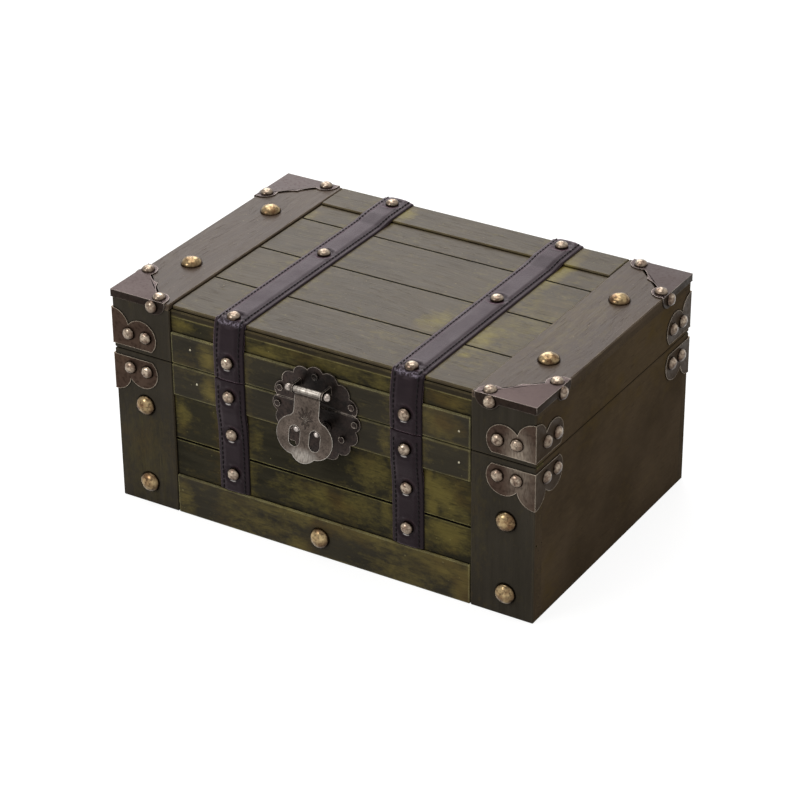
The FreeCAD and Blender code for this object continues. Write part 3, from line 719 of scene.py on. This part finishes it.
def strap_leather(name, bloom):
    # Dark leather with painted edges, their sides also in painted shade, a painted highlight on the dent below
    # each
    #     # front nail and pale cracks with a painted sheen at the fold. The bloom is how far dust and wax have
    #     paled it.
    material, tree, shader = new_finish(name)
    coords = put(tree, "TexCoord").outputs
    place = coords["Object"]
    # Near black side faces: edge paint and painted shade.
    edge_paint_and_shade = ramp(tree, calc(tree, "ABSOLUTE", axes(tree, coords["Normal"])[0]), 0.55, 0.85)
    cloud = ramp(tree, noise(tree, place, 70.0, 4.0), 0.35, 0.65)
    wear = effect(tree, edge_wear, Position=place, Radius=1.2 * mm, Break=220.0, Loss=1.0)["Wear"]
    cracks = ramp(tree, noise(tree, place, 700.0, 5.0, 0.75), 0.46, 0.58)
    layers = [(cloud, tint(31, 23, 25)), (times(tree, wear, 0.4), tint(88, 74, 82))]
    for x in (-strap_centre / mm, strap_centre / mm):
        for z in (119.5, 96, 68.5, 40.5):
            # A painted highlight on the lower lip of the dent below each front nail.
            dent_highlight = spot_strength(tree, place, (x - 0.9, -100.5, z - 5.2, 2.4, 6.0, 0.75, 1.0))
            layers.append((ramp(tree, dent_highlight, 0.25, 0.7, 0.0, 0.9), tint(214, 208, 204)))
        # Pale cracks and a painted sheen along the fold over the lid's front edge.
        fold_sheen_and_cracks = spot_strength(tree, place, (x, -99.6, 146.6, 14.0, 2.6, 2.6, 0.9))
        layers.append((times(tree, fold_sheen_and_cracks, cracks), tint(176, 166, 182)))
    layers.append((edge_paint_and_shade, tint(10, 8, 9)))
    pebble = put(tree, "TexVoronoi", {"Vector": place, "Scale": 1300.0}, feature="DISTANCE_TO_EDGE").outputs[0]
    height = calc(tree, "ADD", ramp(tree, pebble, 0.0, 0.25, 0.0, 0.5), noise(tree, place, 420.0, 3.0))
    feed(tree, shader, {
        "Base Color": layered(tree, tint(21, 14, 16), layers),
        "Roughness": ramp(tree, cloud, 0.0, 1.0, 0.42, 0.32),
        "Specular IOR Level": 0.12,
        "Specular Tint": (1.0, 0.84, 0.95, 1.0),
        "Sheen Weight": bloom,
        "Sheen Roughness": 0.4,
        "Sheen Tint": (0.85, 0.57, 0.7, 1.0),
        "Normal": bumped(tree, height, 0.1 * mm, 0.5)})
    return material


def waxed_thread():
    material, tree, shader = new_finish("waxed_thread")
    twist = noise(tree, put(tree, "TexCoord").outputs["Object"], 1800.0, 2.0)
    feed(tree, shader, {
        "Base Color": tinted(tree, ramp(tree, twist, 0.35, 0.65), tint(12, 9, 10), tint(30, 25, 27)),
        "Roughness": ramp(tree, twist, 0.0, 1.0, 0.45, 0.65),
        "Specular IOR Level": 0.12})
    return material


def seats(node, head_height):
    # Where the heads of a nail group sit and which way each faces, from its solids.
    node_copy(node, "seat_finder")
    bpy.ops.mesh.separate(type="LOOSE")
    done()
    found = []
    for solid in list(bpy.context.selected_objects):
        corners = [vertex.co for vertex in solid.data.vertices]
        low = Vector([min(at[i] for at in corners) for i in range(3)])
        high = Vector([max(at[i] for at in corners) for i in range(3)])
        size = high - low
        axis = min(range(3), key=lambda i: abs(size[i - 1] - size[i - 2]))
        middle = (low + high) / 2
        way = Vector((0.0, 0.0, 0.0))
        way[axis] = 1.0 if axis == 2 or middle[axis] > 0 else -1.0
        middle[axis] = high[axis] - head_height if way[axis] > 0 else low[axis] + head_height
        found.append((middle, way))
        bpy.data.objects.remove(solid)
    return found


leather = {"lid": strap_leather("lid_strap_finish", 0.56), "base": strap_leather("base_strap_finish", 0.38)}
thread = waxed_thread()
nail_height = 3.0 * mm
strap_nails = {body: seats(body + "_strap_nails", nail_height) for body in ("base", "lid")}
for body, run in (("base", base_run), ("lid", lid_run)):
    for side, sign in (("left", -1), ("right", 1)):
        name = "%s_%s_strap" % (body, side)
        path = strap_path(name + "_path", sign * strap_centre, run)
        points = path_points(path)
        length = path_length(points)
        nails = [place_on(points, at) for at, way in strap_nails[body] if at.x * sign > 0]
        folds = [place_on(points, Vector((points[0].x, fold[0] * mm, fold[1] * mm)))] if fold in run else []
        strip = leather_strip(name + "_leather", length, nails, folds)
        lay_along(strip, path)
        finish_piece(strip, leather[body], body, "strap_leather", name, smooth=60)
        stitches = stitch_rows(name + "_stitches", length)
        lay_along(stitches, path)
        finish_piece(stitches, thread, body, "strap_leather", smooth=60)
        bpy.data.objects.remove(path)

# Dome nails. Small brass-washed nails hold the corner metal and the straps. Their thin pressed
# heads are dented by the hammer, pale on the crown and dark round the rim.


def dome_head(name, radius, height, dent, seed):
    # Half a ball with a short skirt, dented by a cloudy texture. The seed shifts it within the texture.
    select_none()
    bpy.ops.mesh.primitive_uv_sphere_add(segments=28, ring_count=16, radius=1.0)
    head = bpy.context.object
    head.name = name
    shift = seed * radius * 7
    edit_all(head)
    bpy.ops.mesh.bisect(plane_co=(0.0, 0.0, 0.0), plane_no=(0.0, 0.0, 1.0), clear_inner=True)
    bpy.ops.mesh.select_all(action="SELECT")
    bpy.ops.transform.resize(value=(radius, radius, height), center_override=(0.0, 0.0, 0.0))
    bpy.ops.mesh.select_all(action="DESELECT")
    bpy.ops.mesh.select_non_manifold(extend=False)
    bpy.ops.mesh.extrude_region_move(TRANSFORM_OT_translate={"value": (0.0, 0.0, -0.8 * mm)})
    bpy.ops.mesh.edge_face_add()
    bpy.ops.mesh.select_all(action="SELECT")
    bpy.ops.transform.translate(value=(shift, 0.0, 0.0))
    done()
    hammer = bpy.data.textures.new(name + "_hammer", "CLOUDS")
    hammer.noise_scale = radius * 0.55
    hammer.noise_depth = 1
    dents = head.modifiers.new("dents", "DISPLACE")
    dents.texture = hammer
    dents.texture_coords = "LOCAL"
    dents.strength = dent
    dents.mid_level = 0.6
    apply_all(head)
    edit_all(head)
    bpy.ops.transform.translate(value=(-shift, 0.0, 0.0))
    done()
    return head


def nail_group(kinds, node, places, body, material, slot):
    # Copies of the head kinds in turn, one at each seat, joined into the piece that stands for the node.
    name = node[:-1] + "_heads"
    copies = []
    for number, (at, way) in enumerate(places):
        copy = bpy.data.objects.new(name, kinds[number % len(kinds)].data.copy())
        bpy.context.collection.objects.link(copy)
        outward = Vector((0.0, 0.0, 1.0)).rotation_difference(way).to_matrix().to_4x4()
        spun = Matrix.Rotation(turns.uniform(0, math.tau), 4, "Z")
        copy.data.transform(Matrix.Translation(at) @ outward @ spun)
        copies.append(copy)
    finish_piece(joined(copies, name), material, body, slot, node, smooth=60)


def clear_away(kinds):
    for kind in kinds:
        bpy.data.objects.remove(kind)


turns = random.Random(7)
nail_brass = aged_metal(
    "nail_brass", tint(183, 168, 149), tint(121, 101, 87), tint(50, 37, 30), tint(226, 218, 196),
    metallic=1.0, roughness=0.22, clouds=300.0, pitting=640.0, head=True)
nail_radius = 4.4 * mm
nail_dent = 0.5 * mm
nail_kinds = [dome_head("nail_kind_%d" % kind, nail_radius, nail_height, nail_dent, kind) for kind in range(5)]
for node, body, places in (
        ("base_bracket_nails", "base", seats("base_bracket_nails", nail_height)),
        ("base_strap_nails", "base", strap_nails["base"]),
        ("lid_corner_nails", "lid", seats("lid_corner_nails", nail_height)),
        ("lid_strap_nails", "lid", strap_nails["lid"])):
    nail_group(nail_kinds, node, places, body, nail_brass, "pale_brass")
clear_away(nail_kinds)

# Large studs. Big hollow brass domes for show on the end boards, stiles and bottom rail, in an
# antique finish with copper showing through.

stud_radius = 7.0 * mm
stud_height = 4.8 * mm
stud_dent = 0.6 * mm
stud_brass = aged_metal(
    "stud_brass", tint(180, 158, 118), tint(112, 85, 60), tint(50, 36, 26), tint(220, 200, 150),
    metallic=1.0, roughness=0.2, clouds=190.0, pitting=480.0, head=True)
stud_kinds = [dome_head("stud_kind_%d" % kind, stud_radius, stud_height, stud_dent, kind) for kind in range(4)]
for body in ("base", "lid"):
    node = body + "_studs"
    nail_group(stud_kinds, node, seats(node, stud_height), body, stud_brass, "antique_brass")
clear_away(stud_kinds)

# Latch plates. A scalloped disc in two halves, cut at the seam, pressed from sheet with a raised
# rim and riveted on. Nearly black bronze with a bright rubbed edge.

plate_front = -101 * mm
rivet_radius = 2.2 * mm
rivet_height = 1.1 * mm
# Painted shade behind the hasp's pin and beside its neck.
latch_bronze = aged_metal(
    "latch_bronze_finish", tint(38, 32, 29), tint(62, 50, 45), tint(24, 20, 18), tint(204, 190, 176),
    metallic=0.8, roughness=0.42, clouds=110.0, pitting=900.0, wear_width=0.6,
    shade_spots=[(1, -102, 124, 13, 6, 8, 0.9), (13, -102, 105, 7, 6, 9, 0.8)])


def on_plate_front(face):
    return face.normal.y < -0.99 and abs(face.center.y - plate_front) < 0.05 * mm


def eyelet(name, radius, height):
    # A tubular rivet: a rolled ring with a sunk middle.
    skirt = 0.5 * mm
    select_none()
    bpy.ops.mesh.primitive_cylinder_add(vertices=24, radius=radius, depth=height + skirt,
                                        location=(0.0, 0.0, (height - skirt) / 2))
    ring = place_made()
    ring.name = name
    raised_rim(ring, lambda face: face.normal.z > 0.99, radius * 0.5, height * 0.9)
    round_edges(ring, radius * 0.2, 4)
    apply_all(ring)
    return ring


plate_rim_width = 0.9 * mm
plate_rim_depth = 0.3 * mm
for node, body in (("latch_lower_plate", "base"), ("latch_upper_plate", "lid")):
    plate = eased_copy(node, node + "_sheet", sheet_rounding)
    raised_rim(plate, on_plate_front, plate_rim_width, plate_rim_depth)
    apply_all(plate)
    finish_piece(plate, latch_bronze, body, "latch_bronze", node)
rivet_kinds = [eyelet("rivet_kind", rivet_radius, rivet_height)]
for node, body in (("latch_lower_rivets", "base"), ("latch_upper_rivets", "lid")):
    nail_group(rivet_kinds, node, seats(node, rivet_height), body, latch_bronze, "latch_bronze")
clear_away(rivet_kinds)

# Hasp. A cast pewter-coloured tongue on a round pin, with two slots that drop over the posts, a
# bent lip for the finger and a sprig of leaves cut on its neck.

hasp_pin = Vector((0.0, -109.0, 120.3)) * mm
hasp_tilt = math.radians(9.5)
leaf_root = 18 * mm
leaf_depth = 0.55 * mm
# Painted highlights on the lip and the barrel, and painted shade across the tongue below the barrel.
hasp_pewter = aged_metal(
    "hasp_pewter", tint(98, 87, 79), tint(74, 65, 58), tint(42, 35, 30), tint(232, 225, 214),
    metallic=0.9, roughness=0.34, clouds=120.0, pitting=1100.0, wear_width=0.75,
    bright=[(0, -121, 80, 11, 9, 5, 0.45), (0, -110, 121.6, 14, 4, 2.0, 0.5)],
    shade_spots=[(0, -111, 117.4, 40, 6, 0.8, 1.3)])
engraved = aged_metal(
    "hasp_engraving", tint(76, 66, 59), tint(52, 45, 40), tint(30, 25, 22), tint(170, 160, 148),
    metallic=0.9, roughness=0.4, clouds=500.0, pitting=1100.0, wear_width=0.22)
post_steel = aged_metal(
    "post_steel", tint(182, 172, 165), tint(150, 140, 132), tint(84, 74, 67), tint(222, 214, 206),
    metallic=1.0, roughness=0.24, clouds=200.0, pitting=1400.0, wear_width=0.3)
# Painted highlights on the tips of the posts.
post_bronze = aged_metal(
    "post_bronze", tint(60, 52, 47), tint(48, 42, 38), tint(30, 26, 23), tint(202, 192, 185),
    metallic=1.0, roughness=0.32, clouds=200.0, pitting=1400.0, wear_width=0.25,
    bright=[(x, -112, 94.6, 5, 4, 5, 1.0) for x in (-7.2, 7.2)])


def eased_metal(node, name, width, segments, material, body, slot, smooth):
    piece = eased_copy(node, name, width, segments)
    apply_all(piece)
    finish_piece(piece, material, body, slot, node, smooth=smooth)


eased_metal("latch_hasp", "latch_hasp_tongue", 0.35 * mm, 3, hasp_pewter, "hasp", "hasp_metal", 35)
eased_metal("latch_pin", "latch_pin_round", 0.2 * mm, 2, post_steel, "lid", "hasp_metal", 60)
eased_metal("latch_posts", "latch_post_pair", 0.2 * mm, 2, post_bronze, "base", "hasp_metal", 60)
leaves = []
for turn, reach in ((-82, 5.6), (-55, 7.2), (-27, 8.6), (0, 9.6), (27, 8.6), (55, 7.2), (82, 5.6), (145, 5.0),
                    (180, 6.2), (215, 5.0)):
    half = reach / 2 * mm
    select_none()
    bpy.ops.mesh.primitive_uv_sphere_add(segments=10, ring_count=8, radius=1.0)
    leaf = bpy.context.object
    leaf.scale = (0.85 * mm, 0.42 * mm, half)
    place_made()
    leaf.data.transform(Matrix.Translation((0.0, -leaf_depth, -leaf_root))
                        @ Matrix.Rotation(math.radians(turn), 4, "Y") @ Matrix.Translation((0.0, 0.0, half)))
    leaf.data.transform(Matrix.Translation(hasp_pin) @ Matrix.Rotation(-hasp_tilt, 4, "X"))
    leaves.append(leaf)
finish_piece(joined(leaves, "latch_hasp_sprig"), engraved, "hasp", "hasp_metal", smooth=60)

# Hinges. Two small butt hinges on the back, with rolled knuckles on a steel pin and slotted
# round-head screws, in a dull antique finish.

hinge_steel = aged_metal(
    "hinge_antique_steel", tint(120, 108, 90), tint(96, 84, 70), tint(62, 52, 42), tint(196, 186, 164),
    metallic=0.9, roughness=0.4, clouds=120.0, pitting=900.0, wear_width=0.4)
for node, body in (("hinge_base_leaves", "base"), ("hinge_pins", "base"), ("hinge_base_screws", "base"),
                   ("hinge_lid_leaves", "lid"), ("hinge_lid_screws", "lid")):
    eased_metal(node, node + "_metal", 0.15 * mm, 2, hinge_steel, body, "hinge_steel", 35)

# Floor and backdrop. A sheet of plain white paper under and behind the chest, which keeps a faint
# shadow of it.


def seen(tree):
    # One for what is looked at, also in metal or through glass, nought for what only lights the chest.
    rays = put(tree, "LightPath").outputs
    return larger(tree, larger(tree, rays["Is Camera Ray"], rays["Is Glossy Ray"]), rays["Is Transmission Ray"])


select_none()
bpy.ops.mesh.primitive_plane_add(size=12.0, location=(0.0, 0.0, 0.0))
floor = bpy.context.object
floor.name = "floor"
paper = bpy.data.materials.new("white_paper")
paper.use_nodes = True
tree = paper.node_tree
tree.nodes.remove(tree.nodes["Principled BSDF"])
matt = put(tree, "BsdfDiffuse", {"Color": (0.7, 0.7, 0.7, 1.0)}).outputs[0]
faint = put(tree, "BsdfDiffuse", {"Color": (0.28, 0.28, 0.28, 1.0)}).outputs[0]
glow = put(tree, "Emission", {"Color": (1.0, 1.0, 1.0, 1.0), "Strength": 0.87}).outputs[0]
bright = put(tree, "AddShader", {0: faint, 1: glow}).outputs[0]
feed(tree, tree.nodes["Material Output"].inputs,
     {"Surface": put(tree, "MixShader", {0: seen(tree), 1: matt, 2: bright}).outputs[0]})
floor.data.materials.append(paper)

# Studio light. A wide soft box overhead and behind, a weaker one to the left front, and an
# even white room.


def soft_box(name, place, aim, size, power):
    lamp = bpy.data.lights.new(name, "AREA")
    lamp.shape = "DISK"
    lamp.size = size
    lamp.energy = power
    holder = bpy.data.objects.new(name, lamp)
    holder.location = place
    holder.rotation_euler = (Vector(aim) - Vector(place)).to_track_quat("-Z", "Y").to_euler()
    bpy.context.collection.objects.link(holder)


soft_box("rear_box", (-0.9, 1.2, 1.28), aim=(0.0, 0.0, 0.1), size=1.5, power=16.0)
soft_box("overhead_box", (-0.3, 0.1, 1.8), aim=(0.0, 0.0, 0.1), size=1.3, power=10.0)
soft_box("front_box", (-0.9, -1.8, 1.3), aim=(0.0, 0.0, 0.08), size=1.0, power=12.0)
room = bpy.data.worlds.new("white_room")
bpy.context.scene.world = room
room.use_nodes = True
tree = room.node_tree
tree.nodes.remove(tree.nodes["Background"])
soft = put(tree, "Background", {"Color": (1.0, 0.98, 0.95, 1.0), "Strength": 0.45}).outputs[0]
white = put(tree, "Background", {"Color": (1.0, 1.0, 1.0, 1.0), "Strength": 1.0}).outputs[0]
feed(tree, tree.nodes["World Output"].inputs,
     {"Surface": put(tree, "MixShader", {0: seen(tree), 1: soft, 2: white}).outputs[0]})

# Camera. It stands to the right of the front and above, far off with a long lens, and looks at
# the middle of the chest.

azimuth = 0.549669
elevation = 0.502719
roll = -0.008606
distance = 1.783648
shift_right = -0.002137
shift_up = -0.008971
aim = Vector((0.0, 0.0, chest_height / 2))
back = Vector((math.sin(azimuth) * math.cos(elevation), -math.cos(azimuth) * math.cos(elevation),
               math.sin(elevation)))
right = Vector((math.cos(azimuth), math.sin(azimuth), 0.0))
up = back.cross(right)
eye = aim + right * shift_right + up * shift_up + back * distance
rolled_right = right * math.cos(roll) + up * math.sin(roll)
rolled_up = up * math.cos(roll) - right * math.sin(roll)
lens = bpy.data.cameras.new("camera")
lens.sensor_width = 36.0
lens.lens = 126.714
lens.clip_end = 50.0
camera = bpy.data.objects.new("camera", lens)
camera.matrix_world = Matrix.Translation(eye) @ Matrix((rolled_right, rolled_up, back)).transposed().to_4x4()
bpy.context.collection.objects.link(camera)
bpy.context.scene.camera = camera
bpy.context.scene.view_settings.view_transform = "Standard"
